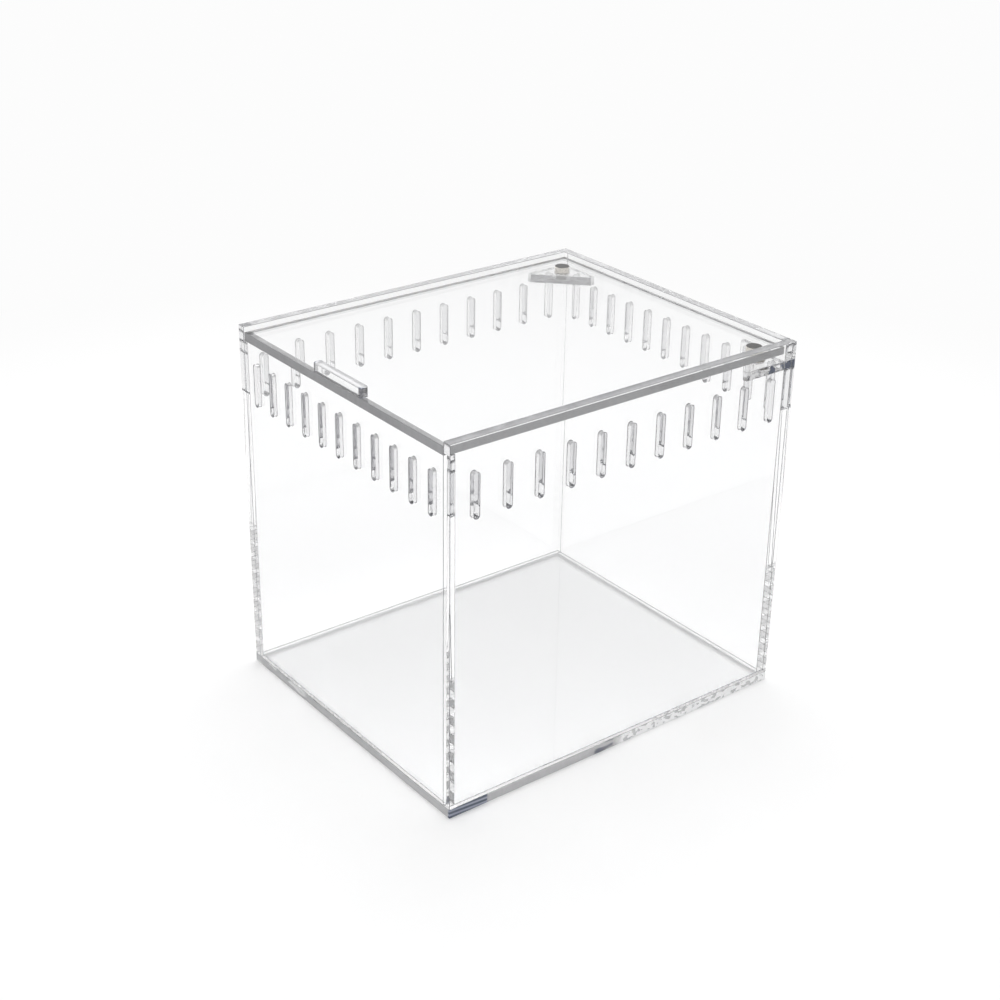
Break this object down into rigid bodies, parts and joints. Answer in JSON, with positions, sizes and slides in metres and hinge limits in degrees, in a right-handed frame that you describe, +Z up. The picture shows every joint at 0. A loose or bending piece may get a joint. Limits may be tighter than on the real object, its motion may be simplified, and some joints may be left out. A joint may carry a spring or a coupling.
{
  "type": "clear plastic pet keeper",
  "caption": "Rectangular clear acrylic box for small pets, with rows of air slots near its rim and a drop-in lid that corner magnets hold shut.",
  "frame": {"origin": "centre of the box's underside, where it stands on the table", "axes": "+X along the long side towards the magnets, +Y towards the back, +Z up"},
  "size_m": [0.13, 0.11, 0.1214],
  "materials": {
    "clear_acrylic": "clear polished acrylic sheet",
    "magnet": "nickel plated disc"
  },
  "bodies": {
    "box": {"base_plate": "clear_acrylic", "front_wall": "clear_acrylic", "back_wall": "clear_acrylic", "left_wall": "clear_acrylic", "right_wall": "clear_acrylic", "front_block": "clear_acrylic", "back_block": "clear_acrylic", "front_box_magnet": "magnet", "back_box_magnet": "magnet"},
    "lid": {"lid": "clear_acrylic", "front_lid_magnet": "magnet", "back_lid_magnet": "magnet", "lid_grip": "clear_acrylic"}
  },
  "joints": [
    {"name": "lid_lift", "type": "slide", "parent": "box", "child": "lid", "axis": [0, 0, 1], "range_m": [0, 0.04]}
  ]
}
